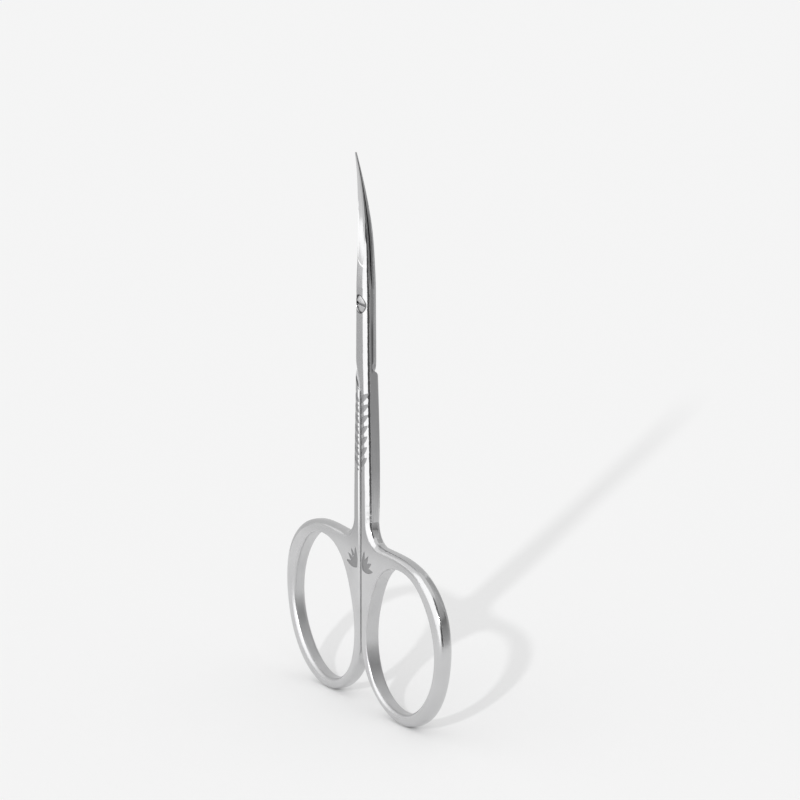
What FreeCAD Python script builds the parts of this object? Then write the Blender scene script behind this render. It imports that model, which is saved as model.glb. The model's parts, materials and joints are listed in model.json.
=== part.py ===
import FreeCAD, Part
import math
import os

# Cuticle scissors: two forged steel halves that cross at a slotted pivot screw.
# X runs across the closed scissors, with the front half's ring at +X.
# Z runs along them with the tips up, and -Y points out of the front, where the screw head sits.
# The origin is where the pivot axis meets the flat back. All sizes are in millimetres.

Vector = FreeCAD.Vector

# Thickness and running gaps
metal_thickness = 2.6
lap_gap = 0.06
shank_gap = 0.5
crossing_clearance = 0.2
cut_overrun = 1.0

# Lap and crossing
blade_root_rise = 3.0
lap_half_width = 2.0
crossing_half_width = 2.12
crossing_top_drop = 10.0
crossing_foot_drop = 15.8
shoulder_spread = 0.4
shoulder_fall = 0.9

# Shank and neck
shank_width = 2.55
shank_drop = 38.4
neck_radius = 3.6

# Finger ring
front_hole_width = 23.1
rear_hole_width = 21.4
ring_hole_height = 25.5
ring_side_wall = 2.7
ring_end_wall = 2.15
inner_bar_width = 1.85

# Rounding of the forged edges
lap_round = 1.2
shank_front_round = 1.2
shank_back_round = 0.7
ring_round = 1.05
hole_round = 0.75
inner_round = 0.42
crisp_round = 0.22

# Blade
blade_reach = 27.0
blade_tip_half_width = 0.07
blade_tip_thickness = 0.2
blade_curve_start = 7.0
blade_curve_radius = 100.0
facet_start_rise = 6.9
facet_middle_rise = 15.0
facet_middle_land = 0.42
facet_tip_land = 0.07
facet_hollow_radius = 7.0
facet_offset = 0.65

# Pivot screw
screw_radius = 0.9
head_radius = 1.45
head_height = 0.52
head_recess = 0.16
head_dome = 0.14
slot_width = 0.5
slot_depth = 0.3
tail_recess = 0.06
bore_clearance = 0.03
head_clearance = 0.08
seat_clearance = 0.02

# Etched leaves on the front faces
etch_depth = 0.08
leaf_length = 2.7
leaf_bulge = 0.46
leaf_pitch = 1.9
leaf_margin = 0.7
leaf_inset = 0.12
leaf_count = 7
leaf_angle = 50.0
berry_radius = 0.2
sprig_below_neck = 5.2
sprig_length = 3.6
sprig_angles = [80.0, 56.0, 32.0, 8.0]

# Shares along the outlines, chosen by eye from the photo
hole_yoke_shares = [(0.0, 1.0), (-0.64, 0.745), (-0.885, 0.34)]
hole_inner_shares = [(-1.0, -0.1), (-0.76, -0.755)]
hole_bottom_shares = [(0.0, -1.0), (0.675, -0.69)]
hole_outer_shares = [(1.0, 0.02), (0.585, 0.8)]
ring_shares = [(0.0, 1.0), (0.57, 0.855), (0.92, 0.51), (1.0, 0.0), (0.66, -0.725)]
heel_shares = [(0.0, -1.0), (-0.4, -0.92), (-0.72, -0.705), (-0.885, -0.46)]
ring_join_share = -0.2
crossing_bend_shares = (0.84, 0.26)
blade_stations_share = [0.0, 0.06, 0.12, 0.2, 0.3, 0.42, 0.55, 0.68, 0.8, 0.9, 0.96, 1.0]
spine_power = 1.35
thickness_power = 1.6
edge_width_share = 0.82
edge_drop_share = 0.3
edge_blend_share = 0.22
spine_round_share = 0.4
round_limit_share = 0.485
sprig_share = 0.28
berry_share = 0.15
match_share = 0.1

# Lengths that follow from the sizes above
lap_plane = -metal_thickness / 2
inner_side = shank_gap / 2
shank_outer = inner_side + shank_width
neck_bottom = -(shank_drop + neck_radius)
ring_z = neck_bottom - ring_end_wall - ring_hole_height / 2
bend_half_width = crossing_half_width * crossing_bend_shares[0]
bend_drop = crossing_top_drop + (crossing_foot_drop - crossing_top_drop) * crossing_bend_shares[1]
round_limit = metal_thickness * round_limit_share
lap_thickness = (metal_thickness - lap_gap) / 2


def flat_point(x, z, y=0.0):
    """A point given by its place across and along the scissors."""
    return Vector(x, y, z)


def smooth_edge(points, start_direction, end_direction):
    """A spline edge through the points that leaves and arrives along the two directions."""
    curve = Part.BSplineCurve()
    curve.interpolate(Points=points, InitialTangent=start_direction, FinalTangent=end_direction, Scale=False)
    return curve.toShape()


def ring_point(hole_width, share, side_wall, end_wall):
    """A point on the ring, as shares of its half width and half height, out by the walls."""
    centre = inner_side + inner_bar_width + hole_width / 2
    across = hole_width / 2 + side_wall
    along = ring_hole_height / 2 + end_wall
    return flat_point(centre + share[0] * across, ring_z + share[1] * along)


def hole_edges(hole_width):
    """The finger hole as a closed spline in four edges: yoke side, inner side, bottom and outer side."""
    quarters = [hole_yoke_shares, hole_inner_shares, hole_bottom_shares, hole_outer_shares]
    points = [ring_point(hole_width, share, 0.0, 0.0) for quarter in quarters for share in quarter]
    curve = Part.BSplineCurve()
    curve.interpolate(Points=points, PeriodicFlag=True)
    corners = [ring_point(hole_width, quarter[0], 0.0, 0.0) for quarter in quarters[1:]]
    places = [curve.FirstParameter] + [curve.parameter(corner) for corner in corners] + [curve.LastParameter]
    return [curve.toShape(first, last) for first, last in zip(places[:-1], places[1:])]


def ring_edges(hole_width, start, end):
    """The outer side of the ring from the neck round to the inner side, cut at its lowest point."""
    shares = ring_shares + heel_shares
    around = [ring_point(hole_width, share, ring_side_wall, ring_end_wall) for share in shares]
    curve = smooth_edge([start] + around + [end], Vector(1, 0, 0), Vector(0, 0, 1)).Curve
    lowest = curve.parameter(ring_point(hole_width, heel_shares[0], ring_side_wall, ring_end_wall))
    return [curve.toShape(curve.FirstParameter, lowest), curve.toShape(lowest, curve.LastParameter)]


def crossing_edge(side, shift):
    """The curve where one half crosses the other, on the left (-1) or right (1), moved by a vector."""
    foot = flat_point(-side * inner_side, -crossing_foot_drop) + shift
    bend = flat_point(side * bend_half_width, -bend_drop) + shift
    top = flat_point(side * crossing_half_width, -crossing_top_drop) + shift
    return smooth_edge([foot, bend, top], Vector(0, 0, 1), Vector(0, 0, 1))


def outline_edges(hole_width):
    """The named edges round one half, from the blade root down the outer side and up the inner side."""
    down = Vector(0, 0, -1)
    up = Vector(0, 0, 1)
    root_right = flat_point(lap_half_width, blade_root_rise)
    root_left = flat_point(-lap_half_width, blade_root_rise)
    crossing_right = flat_point(crossing_half_width, -crossing_top_drop)
    crossing_left = flat_point(-crossing_half_width, -crossing_top_drop)
    shank_end = flat_point(shank_outer, -shank_drop)
    neck_end = flat_point(shank_outer + neck_radius, neck_bottom)
    neck_lean = neck_radius * (1 - math.sqrt(0.5))
    neck_middle = flat_point(shank_outer + neck_lean, neck_bottom + neck_lean)
    join = flat_point(inner_side, ring_z + ring_join_share * (ring_hole_height / 2 + ring_end_wall))
    foot = flat_point(inner_side, -crossing_foot_drop)
    ring = ring_edges(hole_width, neck_end, join)
    return {
        "outer": smooth_edge([root_right, crossing_right, shank_end], down, down),
        "neck": Part.Arc(shank_end, neck_middle, neck_end).toShape(),
        "ring": ring[0],
        "heel": ring[1],
        "inner": Part.makeLine(join, foot),
        "crossing": crossing_edge(-1, Vector(0, 0, 0)),
        "lap": smooth_edge([crossing_left, root_left], up, up),
        "root": Part.makeLine(root_left, root_right),
    }


def edge_rounds(shank_round):
    """The rounding at the two ends of each outline edge, on a face with this rounding of the shank."""
    lap = min(lap_round, round_limit)
    shank = min(shank_round, round_limit)
    ring = min(ring_round, round_limit)
    hole = min(hole_round, round_limit)
    return {
        "outer": (lap, shank),
        "neck": (shank, ring),
        "ring": (ring, ring),
        "heel": (ring, inner_round),
        "inner": (inner_round, inner_round),
        "crossing": (inner_round, lap),
        "lap": (lap, lap),
        "hole 0": (crisp_round, crisp_round),
        "hole 1": (crisp_round, hole),
        "hole 2": (hole, hole),
        "hole 3": (hole, crisp_round),
    }


def on_face(edge, plan_edge, height):
    """Whether an edge of the plate is this plan edge at this height."""
    middle = (plan_edge.FirstParameter + plan_edge.LastParameter) / 2
    spots = [plan_edge.valueAt(plan_edge.FirstParameter), plan_edge.valueAt(middle),
             plan_edge.valueAt(plan_edge.LastParameter)]
    reach = lap_gap * match_share
    return all(edge.distToShape(Part.Vertex(spot + Vector(0, height, 0)))[0] < reach for spot in spots)


def rounded_plate(hole_width, near_round, far_round):
    """One half as a flat plate with rounded edges; the shank has its own rounding on each face."""
    outline = outline_edges(hole_width)
    hole = hole_edges(hole_width)
    face = Part.Face([Part.Wire(list(outline.values())), Part.Wire(hole)], "Part::FaceMakerBullseye")
    plate = face.extrude(Vector(0, -metal_thickness, 0))
    plan = dict(outline)
    plan.update({"hole %d" % number: edge for number, edge in enumerate(hole)})
    chosen = []
    for number, edge in enumerate(plate.Edges, 1):
        for height, shank_round in ((-metal_thickness, near_round), (0.0, far_round)):
            for name, ends in edge_rounds(shank_round).items():
                if on_face(edge, plan[name], height):
                    start = plan[name].valueAt(plan[name].FirstParameter) + Vector(0, height, 0)
                    forward = edge.Vertexes[0].Point.distanceToPoint(start) < lap_gap
                    chosen.append((number,) + (ends if forward else ends[::-1]))
    document = FreeCAD.newDocument("rounding")
    base = document.addObject("Part::Feature", "plate")
    base.Shape = plate
    rounding = document.addObject("Part::Fillet", "rounding")
    rounding.Base = base
    rounding.Edges = chosen
    document.recompute()
    shape = rounding.Shape.copy()
    FreeCAD.closeDocument("rounding")
    return shape


def shoulder_wire(shift):
    """The outline of the space above the shoulder, which follows the other half's crossing curve."""
    far = front_hole_width + rear_hole_width
    shoulder = crossing_edge(1, shift)
    foot = shoulder.Vertexes[0].Point
    top = shoulder.Vertexes[1].Point
    corners = [top, flat_point(far, top.z, shift.y), flat_point(far, far, shift.y),
               flat_point(-far, far, shift.y), flat_point(-far, foot.z, shift.y), foot]
    lines = [Part.makeLine(first, last) for first, last in zip(corners[:-1], corners[1:])]
    return Part.Wire([shoulder] + lines)


def lap_cutter():
    """The space behind the lap face, above the sloping shoulder where the other half crosses."""
    near = Vector(crossing_clearance, lap_plane - lap_gap / 2, -crossing_clearance)
    far = Vector(crossing_clearance + shoulder_spread, cut_overrun, -crossing_clearance - shoulder_fall)
    return Part.makeLoft([shoulder_wire(near), shoulder_wire(far)], True, True)


def half_body(hole_width, near_round, far_round):
    """The front half without its blade: rounded plate with the lap taken off its back."""
    return rounded_plate(hole_width, near_round, far_round).cut(lap_cutter())


def turned_over(shape):
    """The shape turned half a turn about the length of the closed scissors."""
    turned = shape.copy()
    turned.rotate(Vector(0, lap_plane, 0), Vector(0, 0, 1), 180)
    return turned


def blade_share(rise):
    """How far along the blade a height is, from its root to its tip."""
    return (rise - blade_root_rise) / (blade_reach - blade_root_rise)


def curve_lift(rise):
    """How far the blades have curved to the front at a height above the pivot."""
    past = max(rise - blade_curve_start, 0.0)
    return blade_curve_radius - math.sqrt(blade_curve_radius ** 2 - past ** 2)


def blade_thickness(share):
    """The thickness of one blade along its length."""
    return blade_tip_thickness + (lap_thickness - blade_tip_thickness) * (1 - share ** thickness_power)


def spine_half_width(share):
    """The distance of the blade's back from the pivot line along its length."""
    return blade_tip_half_width + (lap_half_width - blade_tip_half_width) * (1 - share ** spine_power)


def edge_half_width(share):
    """The distance of the cutting edge from the pivot line along its length."""
    blend = max(1 - share / edge_blend_share, 0.0) ** 2
    return spine_half_width(share) * (edge_width_share + (1 - edge_width_share) * blend)


def edge_drop(share):
    """The share of the thickness that the outer face has lost at the cutting edge."""
    return edge_drop_share * min(share / edge_blend_share, 1.0)


def corner_arc(corner, first_way, second_way, radius):
    """Start, middle and end of an arc that rounds a corner between two directions."""
    half_angle = first_way.getAngle(second_way) / 2
    reach = radius / math.tan(half_angle)
    middle_way = (first_way + second_way).normalize()
    middle_reach = radius / math.sin(half_angle) - radius
    return corner + first_way * reach, corner + middle_way * middle_reach, corner + second_way * reach


def blade_section(share, side):
    """The outline of one blade at a share of its length; side is -1 in front and 1 behind."""
    rise = blade_root_rise + share * (blade_reach - blade_root_rise)
    thickness = blade_thickness(share)
    spine = spine_half_width(share)
    edge = edge_half_width(share)
    edge_thickness = thickness * (1 - edge_drop(share))
    small = 1 - share * (1 - spine_round_share)
    full_round = min(lap_round, round_limit) / lap_thickness
    radius = full_round * small * thickness
    edge_radius = full_round * edge_thickness * min(edge / edge_thickness, 1.0)
    lap = lap_plane - curve_lift(rise) + side * lap_gap / 2

    def place(across, out):
        return Vector(-side * across, lap + side * out, rise)

    spine_foot = place(-spine, 0.0)
    edge_foot = place(edge, 0.0)
    edge_corner = place(edge, edge_thickness)
    spine_corner = place(-spine, thickness)
    inward = (spine_corner - edge_corner).normalize()
    edge_way = (edge_foot - edge_corner).normalize()
    spine_way = (spine_foot - spine_corner).normalize()
    edge_arc = corner_arc(edge_corner, edge_way, inward, edge_radius)
    spine_arc = corner_arc(spine_corner, inward * -1, spine_way, radius)
    return Part.Wire([
        Part.makeLine(spine_foot, edge_foot),
        Part.makeLine(edge_foot, edge_arc[0]),
        Part.Arc(*edge_arc).toShape(),
        Part.makeLine(edge_arc[2], spine_arc[0]),
        Part.Arc(*spine_arc).toShape(),
        Part.makeLine(spine_arc[2], spine_foot),
    ])


def facet_tool(side):
    """A ring-shaped grinding tool that leaves the hollow facet on the outer face of a blade."""
    share = blade_share(facet_start_rise)
    spine = spine_half_width(share)
    lean = (spine + facet_offset) / (spine + edge_half_width(share))
    start = blade_thickness(share) * (1 - edge_drop(share) * lean)
    lands = {facet_start_rise: start, facet_middle_rise: facet_middle_land, blade_reach: facet_tip_land}
    spots = [Vector(0, lap_plane - curve_lift(rise) + side * (lap_gap / 2 + land), rise)
             for rise, land in lands.items()]
    circle = Part.Circle(*spots)
    outward = (circle.Center.y - spots[1].y) * side > 0
    sweep = circle.Radius - facet_hollow_radius if outward else circle.Radius + facet_hollow_radius
    centre = Vector(-side * facet_offset, circle.Center.y, circle.Center.z)
    return Part.makeTorus(sweep, facet_hollow_radius, centre, Vector(1, 0, 0))


def blade(side):
    """One tapering blade, curved to the front, with a hollow-ground outer facet."""
    sections = [blade_section(share, side) for share in blade_stations_share]
    return Part.makeLoft(sections, True, False).cut(facet_tool(side))


def cylinder(radius, start, end):
    """A cylinder on the pivot axis between two places through the thickness."""
    return Part.makeCylinder(radius, end - start, Vector(0, start, 0), Vector(0, 1, 0))


def etching_prism(wire):
    """A prism on a plan outline that reaches from in front of the metal down past the rounded edge."""
    return Part.Face(wire).extrude(Vector(0, cut_overrun + round_limit, 0))


def leaf(base, angle, length):
    """A lens-shaped leaf that stands on a point and leans by an angle."""
    way = Vector(math.cos(math.radians(angle)), 0, math.sin(math.radians(angle)))
    across = Vector(-way.z, 0, way.x)
    tip = base + way * length
    middle = base + way * (length / 2)
    return etching_prism(Part.Wire([
        Part.Arc(base, middle + across * leaf_bulge, tip).toShape(),
        Part.Arc(tip, middle - across * leaf_bulge, base).toShape(),
    ]))


def berry(centre):
    """A round dot between two leaves."""
    return etching_prism(Part.Wire(Part.makeCircle(berry_radius, centre, Vector(0, 1, 0))))


def leaf_pattern():
    """A row of leaves and berries along the right-hand shank and a sprig on its yoke."""
    front = -(metal_thickness + cut_overrun)
    lean = math.radians(leaf_angle)
    way = Vector(math.cos(lean), 0, math.sin(lean))
    x = inner_side + leaf_inset
    first_z = -(crossing_foot_drop + leaf_margin + way.z * leaf_length / 2)
    shapes = []
    for number in range(leaf_count):
        base = Vector(x, front, first_z - number * leaf_pitch)
        shapes.append(leaf(base, leaf_angle, leaf_length))
        shapes.append(berry(base + way * (leaf_length * berry_share) - Vector(0, 0, leaf_pitch / 2)))
    root = Vector(inner_side + shank_width * sprig_share, front, neck_bottom - sprig_below_neck)
    return shapes + [leaf(root, angle, sprig_length) for angle in sprig_angles]


def etched(body, side):
    """The body with leaves sunk into its front; side is 1 for the right-hand half and -1 for the left."""
    pattern = Part.makeCompound(leaf_pattern())
    if side < 0:
        pattern = pattern.mirror(Vector(0, 0, 0), Vector(1, 0, 0))
    sunk = body.copy()
    sunk.translate(Vector(-side * etch_depth, etch_depth, 0))
    return body.cut(pattern.cut(sunk))


def front_half():
    """The half with the right-hand ring, whose blade and lap lie in front."""
    seat = -metal_thickness + head_recess + head_height + seat_clearance
    bore = cylinder(screw_radius + bore_clearance, -metal_thickness - cut_overrun, cut_overrun)
    recess = cylinder(head_radius + head_clearance, -metal_thickness - cut_overrun, seat)
    whole = half_body(front_hole_width, shank_front_round, shank_back_round).fuse(blade(-1)).removeSplitter()
    return etched(whole.cut([bore, recess]), 1)


def rear_half():
    """The half with the left-hand ring, whose blade and lap lie behind; its hole is threaded."""
    hole = cylinder(screw_radius, -metal_thickness - cut_overrun, cut_overrun)
    body = turned_over(half_body(rear_hole_width, shank_back_round, shank_front_round))
    whole = body.fuse(blade(1)).removeSplitter()
    return etched(whole.cut(hole), -1)


def pivot_screw():
    """A slotted screw: domed head in the front recess, plain shank and an end flush with the back."""
    head_front = -metal_thickness + head_recess
    head = cylinder(head_radius, head_front, head_front + head_height)
    dome_radius = (head_radius ** 2 + head_dome ** 2) / (2 * head_dome)
    dome = Part.makeSphere(dome_radius, Vector(0, head_front + dome_radius, 0))
    head = head.common(dome)
    shank = cylinder(screw_radius, head_front + head_height, -tail_recess)
    slot = Part.makeBox(2 * head_radius + cut_overrun, slot_depth + cut_overrun, slot_width)
    slot.translate(Vector(-head_radius - cut_overrun / 2, head_front - cut_overrun, -slot_width / 2))
    return head.fuse(shank).removeSplitter().cut(slot)


def save(name, shape):
    """Write one node after a plain check that it is a single sound solid."""
    if len(shape.Solids) != 1 or not shape.isValid():
        raise ValueError("%s is not one sound solid" % name)
    shape.Solids[0].exportStep("parts/%s.step" % name)


os.makedirs("parts", exist_ok=True)
save("front_half", front_half())
save("rear_half", rear_half())
save("pivot_screw", pivot_screw())
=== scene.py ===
"""Cuticle scissors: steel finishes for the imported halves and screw, in a plain studio."""

import json
import math

import bpy
import numpy as np
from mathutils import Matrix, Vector


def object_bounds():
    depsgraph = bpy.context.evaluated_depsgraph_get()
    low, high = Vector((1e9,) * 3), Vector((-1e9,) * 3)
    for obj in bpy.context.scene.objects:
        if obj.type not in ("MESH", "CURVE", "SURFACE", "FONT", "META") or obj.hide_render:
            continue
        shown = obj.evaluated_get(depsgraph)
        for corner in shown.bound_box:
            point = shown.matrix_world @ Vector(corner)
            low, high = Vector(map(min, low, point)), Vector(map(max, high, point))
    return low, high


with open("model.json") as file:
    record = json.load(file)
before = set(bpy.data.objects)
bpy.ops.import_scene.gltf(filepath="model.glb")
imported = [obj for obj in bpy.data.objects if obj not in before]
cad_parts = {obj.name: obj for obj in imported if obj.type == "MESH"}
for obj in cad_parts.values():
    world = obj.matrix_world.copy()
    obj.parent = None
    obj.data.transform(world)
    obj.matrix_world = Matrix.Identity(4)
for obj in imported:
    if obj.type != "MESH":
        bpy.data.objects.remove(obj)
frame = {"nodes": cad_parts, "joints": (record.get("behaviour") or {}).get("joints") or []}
cad_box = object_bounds()

bl_info = {
    "name": "Cuticle scissors",
    "version": (1, 0, 0),
    "blender": (4, 5, 0),
    "location": "3D View > Sidebar > Scissors",
    "description": "Finishes the packed cuticle scissors and sets up a plain studio",
    "category": "Object",
}

FLOOR_HEIGHT = cad_box[0].z
PIVOT = Vector(frame["joints"][0]["pos_m"])
HALVES = ("front_half", "rear_half")
SCREW = "pivot_screw"


class SteelFinish(bpy.types.PropertyGroup):
    """Colours and polish of the forged halves and the screw, with the colours of their painted highlight and
    shade.
    """

    steel_colour: bpy.props.FloatVectorProperty(
        name="Steel colour", description="Colour of the bare steel",
        subtype="COLOR", size=3, min=0.0, max=1.0, default=(0.63, 0.63, 0.635))
    satin_colour: bpy.props.FloatVectorProperty(
        name="Satin colour", description="Colour of the brushed flats from blade to yoke",
        subtype="COLOR", size=3, min=0.0, max=1.0, default=(0.43, 0.43, 0.435))
    # Painted highlight: the bright line along the facet's border is painted into the colour
    edge_highlight_colour: bpy.props.FloatVectorProperty(
        name="Edge highlight colour", description="Bright line where the ground facet meets the satin root",
        subtype="COLOR", size=3, min=0.0, max=1.0, default=(0.88, 0.88, 0.885))
    etch_colour: bpy.props.FloatVectorProperty(
        name="Etch colour", description="Colour of the matte floors of the etched leaves",
        subtype="COLOR", size=3, min=0.0, max=1.0, default=(0.34, 0.34, 0.345))
    # Painted shade: dark colour for the seam between the halves, the underside at the crossing and the
    # screw's slot and side
    painted_shade_colour: bpy.props.FloatVectorProperty(
        name="Painted shade colour", description="Colour of the dark seam and of the screw's slot",
        subtype="COLOR", size=3, min=0.0, max=1.0, default=(0.3, 0.3, 0.305))
    # Painted shade: a thin dark ring round the recess of the screw's head
    recess_shade_colour: bpy.props.FloatVectorProperty(
        name="Recess shade colour", description="Colour of the thin ring of painted shade round the screw",
        subtype="COLOR", size=3, min=0.0, max=1.0, default=(0.12, 0.12, 0.122))
    flat_roughness: bpy.props.FloatProperty(
        name="Flat roughness", description="Roughness of the other flat faces",
        subtype="FACTOR", min=0.0, max=1.0, default=0.17)
    round_roughness: bpy.props.FloatProperty(
        name="Round roughness", description="Roughness of the polished rounded edges",
        subtype="FACTOR", min=0.0, max=1.0, default=0.12)
    blade_roughness: bpy.props.FloatProperty(
        name="Blade roughness", description="Roughness of the mirror-ground blades",
        subtype="FACTOR", min=0.0, max=1.0, default=0.08)
    satin_roughness: bpy.props.FloatProperty(
        name="Satin roughness", description="Roughness of the brushed flats from blade to yoke",
        subtype="FACTOR", min=0.0, max=1.0, default=0.26)
    ring_roughness: bpy.props.FloatProperty(
        name="Ring roughness", description="Roughness of the yokes and finger rings",
        subtype="FACTOR", min=0.0, max=1.0, default=0.2)
    hole_roughness: bpy.props.FloatProperty(
        name="Hole roughness", description="Roughness of the walls of the finger holes",
        subtype="FACTOR", min=0.0, max=1.0, default=0.32)
    etch_roughness: bpy.props.FloatProperty(
        name="Etch roughness", description="Roughness of the etched floors",
        subtype="FACTOR", min=0.0, max=1.0, default=0.46)
    brush_depth: bpy.props.FloatProperty(
        name="Brush depth", description="Depth of the fine lines that brushing leaves",
        subtype="DISTANCE", unit="LENGTH", min=0.0, default=0.000004)


class LeafEtching(bpy.types.PropertyGroup):
    """Layout of the etched leaves, the same as in the part."""

    leaf_base: bpy.props.FloatVectorProperty(
        name="Leaf base", description="Foot of the top leaf, across and along the scissors",
        subtype="XYZ", unit="LENGTH", size=2, default=(0.00037, -0.017534))
    leaf_length: bpy.props.FloatProperty(
        name="Leaf length", description="Length of a leaf on the shank",
        subtype="DISTANCE", unit="LENGTH", default=0.0027)
    leaf_bulge: bpy.props.FloatProperty(
        name="Leaf bulge", description="Half the width of a leaf",
        subtype="DISTANCE", unit="LENGTH", default=0.00046)
    leaf_pitch: bpy.props.FloatProperty(
        name="Leaf pitch", description="Step from one leaf down to the next",
        subtype="DISTANCE", unit="LENGTH", default=0.0019)
    leaf_angle: bpy.props.FloatProperty(
        name="Leaf angle", description="Lean of the leaves from the horizontal",
        subtype="ANGLE", default=math.radians(50.0))
    leaf_count: bpy.props.IntProperty(
        name="Leaf count", description="Number of leaves on each shank", min=1, default=7)
    berry_radius: bpy.props.FloatProperty(
        name="Berry radius", description="Radius of the dots between the leaves",
        subtype="DISTANCE", unit="LENGTH", default=0.0002)
    berry_share: bpy.props.FloatProperty(
        name="Berry share", description="Place of a dot along the leaf's length",
        subtype="FACTOR", min=0.0, max=1.0, default=0.15)
    sprig_base: bpy.props.FloatVectorProperty(
        name="Sprig base", description="Foot of the sprig on the yoke, across and along the scissors",
        subtype="XYZ", unit="LENGTH", size=2, default=(0.000964, -0.0472))
    sprig_length: bpy.props.FloatProperty(
        name="Sprig length", description="Length of a leaf of the sprig",
        subtype="DISTANCE", unit="LENGTH", default=0.0036)
    sprig_angles: bpy.props.FloatVectorProperty(
        name="Sprig angles", description="Lean of the four leaves of the sprig",
        subtype="EULER", unit="ROTATION", size=4, default=[math.radians(angle) for angle in (80, 56, 32, 8)])


class StudioSettings(bpy.types.PropertyGroup):
    """Camera, floor and light."""

    azimuth: bpy.props.FloatProperty(
        name="Azimuth", description="Turn of the camera round the scissors",
        subtype="ANGLE", default=math.radians(60.4))
    elevation: bpy.props.FloatProperty(
        name="Elevation", description="Angle of the camera above the horizon",
        subtype="ANGLE", default=math.radians(16.0))
    camera_distance: bpy.props.FloatProperty(
        name="Camera distance", description="Distance from the camera to the scissors",
        subtype="DISTANCE", unit="LENGTH", min=0.1, default=3.0)
    frame_width: bpy.props.FloatProperty(
        name="Frame width", description="Width of the view at the scissors",
        subtype="DISTANCE", unit="LENGTH", min=0.01, default=0.13675)
    aim_right: bpy.props.FloatProperty(
        name="Aim to the right", description="How far right of the pivot the view is centred",
        subtype="DISTANCE", unit="LENGTH", default=0.005778)
    aim_down: bpy.props.FloatProperty(
        name="Aim downwards", description="How far below the pivot the view is centred",
        subtype="DISTANCE", unit="LENGTH", default=0.01658)
    floor_colour: bpy.props.FloatVectorProperty(
        name="Floor colour", description="Colour of the pale floor",
        subtype="COLOR", size=3, min=0.0, max=1.0, default=(0.92, 0.92, 0.92))
    floor_width: bpy.props.FloatProperty(
        name="Floor width", description="Side of the square floor",
        subtype="DISTANCE", unit="LENGTH", min=0.5, default=9.0)
    sky_strength: bpy.props.FloatProperty(
        name="Sky strength", description="Even white light from all round", min=0.0, default=0.87)
    backdrop_strength: bpy.props.FloatProperty(
        name="Backdrop strength", description="White that the camera and the steel see beyond the floor",
        min=0.0, max=1.0, default=0.91)
    key_direction: bpy.props.FloatVectorProperty(
        name="Key direction", description="Direction from the scissors to the key lamp",
        subtype="DIRECTION", size=3, default=(0.613, -0.66, 0.435))
    key_spread: bpy.props.FloatProperty(
        name="Key spread", description="Apparent size of the key lamp, which softens the shadow",
        subtype="ANGLE", unit="ROTATION", min=0.0, default=math.radians(1.8))
    key_strength: bpy.props.FloatProperty(
        name="Key strength", description="Light of the key lamp on a surface that faces it",
        min=0.0, default=0.86)
    card_radius: bpy.props.FloatProperty(
        name="Card radius", description="Distance of the reflector cards from the frame's Z axis",
        subtype="DISTANCE", unit="LENGTH", min=0.01, default=0.115)


# Reflector cards that stand round the scissors and show only in the steel.
# Each has its first and last turn in degrees, from the front towards the right,
# then its brightness at heights above the floor in millimetres.
REFLECTOR_CARDS = {
    "card_left": (-150, -67, [(0, 0.7), (260, 0.7)]),
    "card_flat": (-66, -54, [(16, 0.98), (26, 0.83), (45, 0.78), (50, 0.76), (54, 0.8), (54.4, 1.7),
                             (57, 1.7), (57.2, 1.05), (260, 0.95)]),
    "card_facet": (-53.7, -37, [(16, 0.75), (26, 0.6), (38, 0.92), (52, 0.92), (52.4, 1.7),
                                (57.8, 1.7), (58, 1.05), (260, 0.95)]),
    "card_front": (-36.7, 46, [(0, 1.6), (260, 1.6)]),
    "card_right_dark": (48, 80, [(0, 0.6), (4, 0.1), (260, 0.1)]),
    "card_right_grey": (82, 150, [(0, 0.7), (14, 0.45), (45, 0.34), (64, 0.22), (72, 0.22),
                                  (80, 0.45), (260, 0.7)]),
    "card_back_grey": (152, 206, [(0, 0.5), (260, 0.5)]),
}


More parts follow.
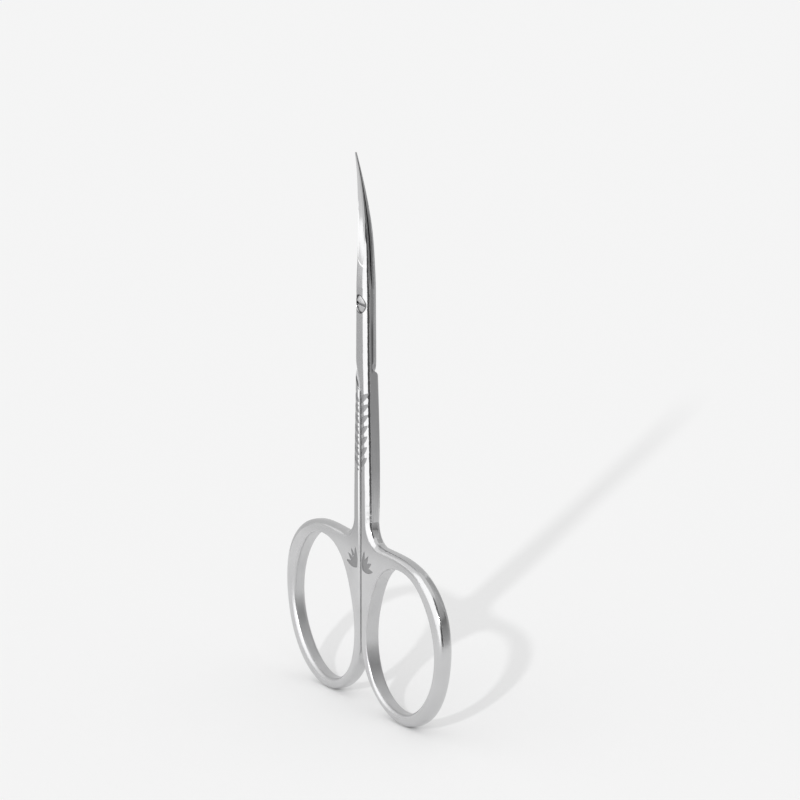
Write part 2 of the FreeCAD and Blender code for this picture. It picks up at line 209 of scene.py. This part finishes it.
class NodeTree:
    """Short calls that add nodes to one tree and link them."""

    def __init__(self, tree):
        self.tree = tree
        tree.nodes.clear()

    def add(self, kind, settings=None, **inputs):
        """A new node; settings are its own values, and inputs are sockets or numbers by socket name."""
        node = self.tree.nodes.new(kind)
        for name, value in (settings or {}).items():
            setattr(node, name, value)
        for name, value in inputs.items():
            self.fill(node.inputs[name.replace("_", " ")], value)
        return node

    def fill(self, socket, value):
        """Link a socket into an input, or set the input to a value."""
        if isinstance(value, bpy.types.NodeSocket):
            self.tree.links.new(value, socket)
        elif socket.type == "RGBA":
            socket.default_value = (*value, 1.0)
        else:
            socket.default_value = value

    def math(self, operation, *values):
        """One arithmetic step on sockets or numbers."""
        node = self.add("ShaderNodeMath", {"operation": operation})
        for place, value in enumerate(values):
            self.fill(node.inputs[place], value)
        return node.outputs[0]

    def ramp(self, value, start, end, low=0.0, high=1.0):
        """A smooth change from low to high while the value goes from start to end."""
        node = self.add("ShaderNodeMapRange", {"interpolation_type": "SMOOTHSTEP"}, Value=value,
                        From_Min=start, From_Max=end, To_Min=low, To_Max=high)
        return node.outputs["Result"]

    def both(self, *masks):
        """The product of several masks."""
        result = masks[0]
        for mask in masks[1:]:
            result = self.math("MULTIPLY", result, mask)
        return result

    def either(self, *masks):
        """The largest of several masks."""
        result = masks[0]
        for mask in masks[1:]:
            result = self.math("MAXIMUM", result, mask)
        return result

    def length(self, first, second):
        """The length of a vector with two components."""
        first_square = self.math("MULTIPLY", first, first)
        second_square = self.math("MULTIPLY", second, second)
        return self.math("SQRT", self.math("ADD", first_square, second_square))

    def noise(self, vector, scale, detail=2.0):
        """Soft random values from 0 to 1."""
        node = self.add("ShaderNodeTexNoise", Vector=vector, Scale=scale, Detail=detail)
        return node.outputs["Fac"]

    def stretch(self, vector, factors):
        """A vector with each component multiplied by its own factor."""
        node = self.add("ShaderNodeMapping", Vector=vector)
        node.inputs["Scale"].default_value = factors
        return node.outputs["Vector"]

    def mix(self, share, first, second):
        """First where the share is 0 and second where it is 1; both colours or both numbers."""
        colours = isinstance(second, tuple) or getattr(second, "type", "") == "RGBA"
        node = self.add("ShaderNodeMix", {"data_type": "RGBA" if colours else "FLOAT"})
        self.fill(node.inputs["Factor"], share)
        self.fill(node.inputs[6 if colours else 2], first)
        self.fill(node.inputs[7 if colours else 3], second)
        return node.outputs[2 if colours else 0]

    def split(self, vector):
        """The three components of a vector."""
        return self.add("ShaderNodeSeparateXYZ", Vector=vector).outputs

    def surface(self, shader):
        """Show a shader on the material's surface."""
        self.add("ShaderNodeOutputMaterial", Surface=shader)


def new_material(name):
    """An empty material and its node tree."""
    material = bpy.data.materials.new(name)
    material.use_nodes = True
    return material, NodeTree(material.node_tree)


LEAF_SOFTNESS = 0.00004


def lens_mask(nodes, along, across, length, bulge):
    """1 inside a leaf: where both centres of its two arcs are nearer than the arcs' radius."""
    radius = (length ** 2 / 4 + bulge ** 2) / (2 * bulge)
    from_middle = nodes.math("SUBTRACT", along, length / 2)
    from_centre = nodes.math("ADD", nodes.math("ABSOLUTE", across), radius - bulge)
    inside = nodes.math("SUBTRACT", radius, nodes.length(from_middle, from_centre))
    return nodes.ramp(inside, -LEAF_SOFTNESS, LEAF_SOFTNESS)


def turned(nodes, across, along, angle):
    """Two components in axes that are turned by an angle."""
    cosine = math.cos(angle)
    sine = math.sin(angle)
    first = nodes.math("ADD", nodes.math("MULTIPLY", across, cosine),
                       nodes.math("MULTIPLY", along, sine))
    second = nodes.math("SUBTRACT", nodes.math("MULTIPLY", along, cosine),
                        nodes.math("MULTIPLY", across, sine))
    return first, second


def leaf_row_mask(nodes, across, along, etching):
    """The row of leaves and dots on a shank: one leaf and one dot, repeated down the shank by wrapping."""
    angle = etching.leaf_angle
    pitch = etching.leaf_pitch
    step = pitch * math.cos(angle)
    from_base = nodes.math("SUBTRACT", across, etching.leaf_base[0])
    above_base = nodes.math("SUBTRACT", along, etching.leaf_base[1])
    side = turned(nodes, from_base, above_base, angle)[1]
    wrapped = nodes.math("WRAP", side, step / 2, -step / 2)
    number = nodes.math("DIVIDE", nodes.math("SUBTRACT", wrapped, side), step)
    own_rise = nodes.math("ADD", above_base, nodes.math("MULTIPLY", number, pitch))
    forward = turned(nodes, from_base, own_rise, angle)[0]
    leaves = nodes.both(lens_mask(nodes, forward, wrapped, etching.leaf_length, etching.leaf_bulge),
                        nodes.ramp(number, -0.55, -0.45),
                        nodes.ramp(number, etching.leaf_count - 0.45, etching.leaf_count - 0.55))
    reach = etching.leaf_length * etching.berry_share
    dot_across = nodes.math("SUBTRACT", from_base, reach * math.cos(angle))
    dot_rise = nodes.math("SUBTRACT", above_base, reach * math.sin(angle) - pitch / 2)
    dot_along = nodes.math("WRAP", dot_rise, pitch / 2, -pitch / 2)
    radius = etching.berry_radius
    soft = radius / 5
    lowest = -pitch * (etching.leaf_count - 0.5)
    dots = nodes.both(nodes.ramp(nodes.length(dot_across, dot_along), radius + soft, radius - soft),
                      nodes.ramp(dot_rise, pitch / 2, pitch / 2 - soft),
                      nodes.ramp(dot_rise, lowest, lowest + soft))
    return nodes.either(leaves, dots)


def sprig_mask(nodes, across, along, etching):
    """The fan of leaves on a yoke, which share one foot."""
    from_base = nodes.math("SUBTRACT", across, etching.sprig_base[0])
    above_base = nodes.math("SUBTRACT", along, etching.sprig_base[1])
    leaves = []
    for angle in etching.sprig_angles:
        forward, side = turned(nodes, from_base, above_base, angle)
        leaves.append(lens_mask(nodes, forward, side, etching.sprig_length, etching.leaf_bulge))
    return nodes.either(*leaves)


# Where the finishes lie on the halves, in metres in the frame's axes.
# The parting plane between the halves, and how far from it a face counts as an outer one
PARTING_DEPTH = PIVOT.y
OUTER_START = 0.0006
OUTER_END = 0.0010
# The facet's lower border, a parabola, and the painted highlight along it
FACET_START = 0.0068
FACET_MIDDLE = 0.00065
FACET_BEND = 380.0
FACET_SOFTNESS = 0.0002
HIGHLIGHT_REACH = 0.00022
HIGHLIGHT_CORE = 0.00008
# The thin ring of painted shade round the recess of the screw's head
RECESS_SHADE_OUTSIDE = 0.00175
RECESS_SHADE_INSIDE = 0.00163
# The crossing on the front half's side, and the painted shade of the seam above it and of the rear half's
# underside
CROSSING_FOOT = -0.0122
CROSSING_FADE = 0.001
CROSSING_SIDE = 0.0005
SEAM_TOP = -0.001
SEAM_FADE = 0.004
SEAM_REACH = 0.00024
SEAM_CORE = 0.0001
TUCK_TOP = -0.0085
# The rings, where the brushing turns, and the walls of their holes
RING_CENTRE = (0.0133, -0.0569)
YOKE_TOP = -0.040
YOKE_BOTTOM = -0.046
HOLE_WALL_START = -0.002
HOLE_WALL_END = -0.006
# Steps per metre of the brushing, the clouding and the etched grain, and brush marks per radian
BRUSH_ACROSS = 6000.0
BRUSH_ALONG = 180.0
BRUSH_TURN = 2.4
CLOUDING = 140.0
ETCH_GRAIN = 16000.0


def brushed_lines(nodes, place, across, along):
    """Fine brushing: along the blades and shanks, and round the finger rings, from 0 to 1."""
    straight = nodes.noise(nodes.stretch(place, (BRUSH_ACROSS, BRUSH_ACROSS, BRUSH_ALONG)), 1.0, 3.0)
    ring_across = nodes.math("SUBTRACT", across, RING_CENTRE[0])
    ring_along = nodes.math("SUBTRACT", along, RING_CENTRE[1])
    radius = nodes.length(ring_across, ring_along)
    turn = nodes.math("ARCTAN2", ring_along, ring_across)
    depth = nodes.split(place)["Y"]
    polar = nodes.add("ShaderNodeCombineXYZ", X=nodes.math("MULTIPLY", radius, BRUSH_ACROSS),
                      Y=nodes.math("MULTIPLY", depth, BRUSH_ACROSS),
                      Z=nodes.math("MULTIPLY", turn, BRUSH_TURN))
    around = nodes.noise(polar.outputs[0], 1.0, 3.0)
    return nodes.mix(nodes.ramp(along, YOKE_TOP, YOKE_BOTTOM), straight, around)


def forged_steel(finish, etching):
    """Steel with satin flats, ground blades, polished round edges, brushed lines and matte etched leaves,
    plus a painted highlight along the facet's border and painted shade in the seam, under the crossing and
    round the screw's recess.
    """
    material, nodes = new_material("forged_steel")
    texture = nodes.add("ShaderNodeTexCoord")
    place = texture.outputs["Object"]
    where = nodes.split(place)
    facing = nodes.split(texture.outputs["Normal"])
    across = nodes.math("ABSOLUTE", where["X"])
    along = where["Z"]

    flat = nodes.ramp(nodes.math("ABSOLUTE", facing["Y"]), 0.96, 0.998)
    from_middle = nodes.math("SUBTRACT", where["X"], FACET_MIDDLE)
    facet_border = nodes.math("MULTIPLY", nodes.math("MULTIPLY", from_middle, from_middle), FACET_BEND)
    past_border = nodes.math("SUBTRACT", nodes.math("SUBTRACT", along, facet_border), FACET_START)
    ground = nodes.ramp(past_border, 0.0, FACET_SOFTNESS)
    from_parting = nodes.math("ABSOLUTE", nodes.math("SUBTRACT", where["Y"], PARTING_DEPTH))
    outer = nodes.ramp(from_parting, OUTER_START, OUTER_END)
    # Painted highlight: a bright line along the facet's lower border on the outer faces
    painted_edge_highlight = nodes.both(nodes.ramp(nodes.math("ABSOLUTE", past_border), HIGHLIGHT_REACH, HIGHLIGHT_CORE), outer)
    satin = nodes.both(flat, outer, nodes.math("SUBTRACT", 1.0, ground),
                       nodes.ramp(along, YOKE_BOTTOM, YOKE_TOP))

    side = nodes.math("MULTIPLY", nodes.math("SIGN", where["X"]), facing["X"])
    outward_x = nodes.math("MULTIPLY", nodes.math("SUBTRACT", across, RING_CENTRE[0]), side)
    outward_z = nodes.math("MULTIPLY", nodes.math("SUBTRACT", along, RING_CENTRE[1]), facing["Z"])
    outward = nodes.math("ADD", outward_x, outward_z)
    ring = nodes.ramp(along, YOKE_TOP, YOKE_BOTTOM)
    hole_wall = nodes.both(nodes.ramp(outward, HOLE_WALL_START, HOLE_WALL_END), ring)

    front = nodes.ramp(facing["Y"], -0.1, -0.25)
    leaf_row = leaf_row_mask(nodes, across, along, etching)
    etched = nodes.both(nodes.either(leaf_row, sprig_mask(nodes, across, along, etching)), front)

    from_axis = nodes.length(where["X"], along)
    wall = nodes.ramp(nodes.math("ABSOLUTE", facing["Y"]), 0.8, 0.6)
    # Painted shade: a thin dark ring on the front faces round the recess of the screw's head
    painted_recess_shade = nodes.both(nodes.ramp(from_axis, RECESS_SHADE_OUTSIDE, RECESS_SHADE_INSIDE), front)
    # Painted shade: the seam beside the parting plane and the rear half's underside over the crossing are
    # painted darker
    crossing = nodes.both(nodes.ramp(along, CROSSING_FOOT, CROSSING_FOOT + CROSSING_FADE),
                          nodes.ramp(where["X"], CROSSING_SIDE, 2.0 * CROSSING_SIDE))
    seam = nodes.both(nodes.ramp(from_parting, SEAM_REACH, SEAM_CORE), wall, crossing,
                      nodes.ramp(along, SEAM_TOP, SEAM_TOP - SEAM_FADE))
    tuck = nodes.both(nodes.ramp(facing["Z"], -0.06, -0.2), crossing,
                      nodes.ramp(along, TUCK_TOP, TUCK_TOP - CROSSING_FADE))
    painted_shade = nodes.either(seam, tuck)

    brush = brushed_lines(nodes, place, across, along)
    cloud = nodes.noise(place, CLOUDING)
    grain = nodes.noise(place, ETCH_GRAIN, 1.0)
    tone = nodes.math("ADD", nodes.ramp(cloud, 0.3, 0.7, 0.93, 1.0),
                      nodes.ramp(brush, 0.3, 0.7, -0.02, 0.02))
    colour = nodes.mix(tone, (0.0, 0.0, 0.0), tuple(finish.steel_colour))
    speckle = nodes.mix(grain, tuple(0.8 * part for part in finish.etch_colour), tuple(finish.etch_colour))
    colour = nodes.mix(satin, colour, tuple(finish.satin_colour))
    colour = nodes.mix(painted_edge_highlight, colour, tuple(finish.edge_highlight_colour))
    colour = nodes.mix(etched, colour, speckle)
    colour = nodes.mix(painted_shade, colour, tuple(finish.painted_shade_colour))
    colour = nodes.mix(painted_recess_shade, colour, tuple(finish.recess_shade_colour))

    rough = nodes.mix(flat, finish.round_roughness, finish.flat_roughness)
    rough = nodes.mix(satin, rough, finish.satin_roughness)
    rough = nodes.mix(ring, rough, finish.ring_roughness)
    rough = nodes.math("ADD", rough, nodes.ramp(brush, 0.3, 0.7, -0.03, 0.03))
    rough = nodes.math("ADD", rough, nodes.ramp(cloud, 0.35, 0.65, -0.02, 0.02))
    rough = nodes.mix(ground, rough, finish.blade_roughness)
    rough = nodes.mix(hole_wall, rough, finish.hole_roughness)
    rough = nodes.mix(etched, rough, finish.etch_roughness)

    height = nodes.mix(etched, nodes.math("MULTIPLY", brush, finish.brush_depth),
                       nodes.math("MULTIPLY", grain, 2.0 * finish.brush_depth))
    bump = nodes.add("ShaderNodeBump", Strength=0.5, Distance=1.0, Height=height)
    shader = nodes.add("ShaderNodeBsdfPrincipled", Base_Color=colour, Metallic=1.0, Roughness=rough,
                       Normal=bump.outputs["Normal"])
    nodes.surface(shader.outputs[0])
    return material


# Depths on the screw, in metres in the frame's axes, the pitch of its turning marks,
# and the steps per metre of its clouding
SLOT_TOP = -0.00236
SLOT_FLOOR = -0.00224
END_START = -0.0008
END_FULL = -0.0006
TURNING_PITCH = 0.00013
SCREW_CLOUDING = 1800.0


def turned_steel(finish):
    """Screw steel with fine rings from turning, and painted shade in the slot and along the side; the end at
    the back is bare.
    """
    material, nodes = new_material("turned_steel")
    place = nodes.add("ShaderNodeTexCoord").outputs["Object"]
    where = nodes.split(place)
    from_axis = nodes.length(where["X"], where["Z"])
    rings = nodes.math("SINE", nodes.math("MULTIPLY", from_axis, 2.0 * math.pi / TURNING_PITCH))
    cloud = nodes.noise(place, SCREW_CLOUDING)
    # Painted shade in the slot and along the screw's side inside the halves; the end at the back stays bare
    sunk = nodes.ramp(where["Y"], SLOT_TOP, SLOT_FLOOR)
    before_end = nodes.ramp(where["Y"], END_FULL, END_START)
    dark = nodes.both(sunk, before_end)
    tone = nodes.ramp(cloud, 0.3, 0.7, 0.86, 1.0)
    colour = nodes.mix(tone, (0.0, 0.0, 0.0), tuple(finish.steel_colour))
    colour = nodes.mix(dark, colour, tuple(finish.painted_shade_colour))
    rough = nodes.ramp(cloud, 0.3, 0.7, 0.16, 0.26)
    height = nodes.math("MULTIPLY", rings, finish.brush_depth / 4)
    bump = nodes.add("ShaderNodeBump", Strength=0.5, Distance=1.0, Height=height)
    shader = nodes.add("ShaderNodeBsdfPrincipled", Base_Color=colour, Metallic=1.0, Roughness=rough,
                       Normal=bump.outputs["Normal"])
    nodes.surface(shader.outputs[0])
    return material


def put_on(name, material):
    """Give a CAD node one material in all its slots."""
    slots = frame["nodes"][name].material_slots
    if not slots:
        raise RuntimeError("%s has no material slot" % name)
    for slot in slots:
        slot.material = material


def grid_mesh(name, points):
    """A mesh of quads over a grid of points, rows by columns by three."""
    rows, columns = points.shape[:2]
    number = np.arange(rows * columns).reshape(rows, columns)
    quads = np.stack([number[:-1, :-1], number[1:, :-1], number[1:, 1:], number[:-1, 1:]], axis=-1)
    mesh = bpy.data.meshes.new(name)
    mesh.from_pydata(points.reshape(-1, 3).tolist(), [], quads.reshape(-1, 4).tolist())
    mesh.update()
    return mesh


def add_stage_piece(name, mesh, material):
    """Put a mesh with one material into the scene as part of the stage."""
    piece = bpy.data.objects.new(name, mesh)
    mesh.materials.append(material)
    bpy.context.scene.collection.objects.link(piece)
    return piece


FLOOR_POINTS = 7


def pale_floor(settings):
    """A matte square floor that the scissors stand on: z = FLOOR_HEIGHT for all x and y."""
    material, nodes = new_material("pale_floor")
    shader = nodes.add("ShaderNodeBsdfDiffuse", Color=tuple(settings.floor_colour))
    nodes.surface(shader.outputs[0])
    side = np.linspace(-settings.floor_width / 2, settings.floor_width / 2, FLOOR_POINTS)
    x, y = np.meshgrid(side, side, indexing="ij")
    points = np.stack([x, y, np.full_like(x, FLOOR_HEIGHT)], axis=-1)
    add_stage_piece("floor", grid_mesh("floor", points), material)


CARD_COLUMNS = 25
MILLIMETRE = 0.001


def reflector_cards(settings):
    """Parts of an upright cylinder round the Z axis, whose brightness is an attribute of its points.

    With radius r and turn t: x = r sin t, y = -r cos t, z = FLOOR_HEIGHT + height.
    """
    material, nodes = new_material("reflector_card")
    glow = nodes.add("ShaderNodeAttribute", {"attribute_name": "glow"}).outputs["Fac"]
    nodes.surface(nodes.add("ShaderNodeEmission", Strength=glow).outputs[0])
    for name, (first, last, stops) in REFLECTOR_CARDS.items():
        turn = np.radians(np.linspace(first, last, CARD_COLUMNS))
        height, strength = np.array(stops, float).T
        turn_grid, z = np.meshgrid(turn, FLOOR_HEIGHT + height * MILLIMETRE, indexing="ij")
        x = settings.card_radius * np.sin(turn_grid)
        y = -settings.card_radius * np.cos(turn_grid)
        mesh = grid_mesh(name, np.stack([x, y, z], axis=-1))
        values = np.tile(strength, len(turn)).astype(np.float32)
        mesh.attributes.new("glow", "FLOAT", "POINT").data.foreach_set("value", values)
        card = add_stage_piece(name, mesh, material)
        card.visible_camera = False
        card.visible_diffuse = False
        card.visible_shadow = False


def white_sky(scene, settings):
    """Even white light, and a white backdrop for the camera and the steel."""
    world = bpy.data.worlds.new("studio")
    world.use_nodes = True
    nodes = NodeTree(world.node_tree)
    path = nodes.add("ShaderNodeLightPath").outputs
    seen = nodes.either(path["Is Camera Ray"], path["Is Glossy Ray"], path["Is Transmission Ray"])
    strength = nodes.mix(seen, settings.sky_strength, settings.backdrop_strength)
    background = nodes.add("ShaderNodeBackground", Color=(1.0, 1.0, 1.0), Strength=strength)
    nodes.add("ShaderNodeOutputWorld", Surface=background.outputs[0])
    scene.world = world


def aimed(scene, name, data, place, towards):
    """Put a lamp or camera at a place, looking along a direction."""
    thing = bpy.data.objects.new(name, data)
    thing.location = place
    thing.rotation_mode = "QUATERNION"
    thing.rotation_quaternion = towards.to_track_quat("-Z", "Y")
    scene.collection.objects.link(thing)
    return thing


def key_lamp(scene, settings):
    """A distant lamp from the front right, which gives the shadow its direction."""
    lamp = bpy.data.lights.new("key", "SUN")
    lamp.angle = settings.key_spread
    lamp.energy = settings.key_strength
    direction = Vector(settings.key_direction).normalized()
    aimed(scene, "key", lamp, PIVOT + direction, -direction)


def photo_camera(scene, settings):
    """A long lens at the photograph's viewing angle."""
    azimuth = settings.azimuth
    elevation = settings.elevation
    right = Vector((math.cos(azimuth), math.sin(azimuth), 0.0))
    back = Vector((math.sin(azimuth) * math.cos(elevation), -math.cos(azimuth) * math.cos(elevation),
                   math.sin(elevation)))
    up = back.cross(right)
    aim = PIVOT + right * settings.aim_right - up * settings.aim_down
    view = bpy.data.cameras.new("camera")
    view.lens = view.sensor_width * settings.camera_distance / settings.frame_width
    scene.camera = aimed(scene, "camera", view, aim + back * settings.camera_distance, -back)


class SCISSORS_OT_halves(bpy.types.Operator):
    """Give both forged halves their steel"""

    bl_idname = "scissors.halves"
    bl_label = "Forged halves"

    def execute(self, context):
        steel = forged_steel(context.scene.scissors_finish, context.scene.scissors_etching)
        for name in HALVES:
            put_on(name, steel)
        return {"FINISHED"}


class SCISSORS_OT_screw(bpy.types.Operator):
    """Give the pivot screw its turned steel"""

    bl_idname = "scissors.screw"
    bl_label = "Pivot screw"

    def execute(self, context):
        put_on(SCREW, turned_steel(context.scene.scissors_finish))
        return {"FINISHED"}


class SCISSORS_OT_studio(bpy.types.Operator):
    """Add the floor, the cards, the light and the camera"""

    bl_idname = "scissors.studio"
    bl_label = "Studio"

    def execute(self, context):
        scene = context.scene
        settings = scene.scissors_studio
        pale_floor(settings)
        reflector_cards(settings)
        white_sky(scene, settings)
        key_lamp(scene, settings)
        photo_camera(scene, settings)
        scene.view_settings.view_transform = "Standard"
        return {"FINISHED"}


OPERATORS = (SCISSORS_OT_halves, SCISSORS_OT_screw, SCISSORS_OT_studio)


class SCISSORS_PT_steps(bpy.types.Panel):
    """Lists the settings and the steps in the sidebar"""

    bl_idname = "SCISSORS_PT_steps"
    bl_label = "Cuticle scissors"
    bl_space_type = "VIEW_3D"
    bl_region_type = "UI"
    bl_category = "Scissors"

    def draw(self, context):
        for operator in OPERATORS:
            self.layout.operator(operator.bl_idname)
        for group_name, kind in GROUPS.items():
            box = self.layout.box()
            for name in kind.__annotations__:
                box.prop(getattr(context.scene, group_name), name)


GROUPS = {"scissors_finish": SteelFinish, "scissors_etching": LeafEtching, "scissors_studio": StudioSettings}
CLASSES = (*GROUPS.values(), *OPERATORS, SCISSORS_PT_steps)


def register():
    """Register the classes and give the scene its settings."""
    for item in CLASSES:
        bpy.utils.register_class(item)
    for name, group in GROUPS.items():
        setattr(bpy.types.Scene, name, bpy.props.PointerProperty(type=group))


def unregister():
    """Take the settings and the classes away again."""
    for name in GROUPS:
        delattr(bpy.types.Scene, name)
    for item in reversed(CLASSES):
        bpy.utils.unregister_class(item)


def main():
    """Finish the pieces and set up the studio."""
    register()
    bpy.ops.scissors.halves()
    bpy.ops.scissors.screw()
    bpy.ops.scissors.studio()


if __name__ == "__main__":
    main()
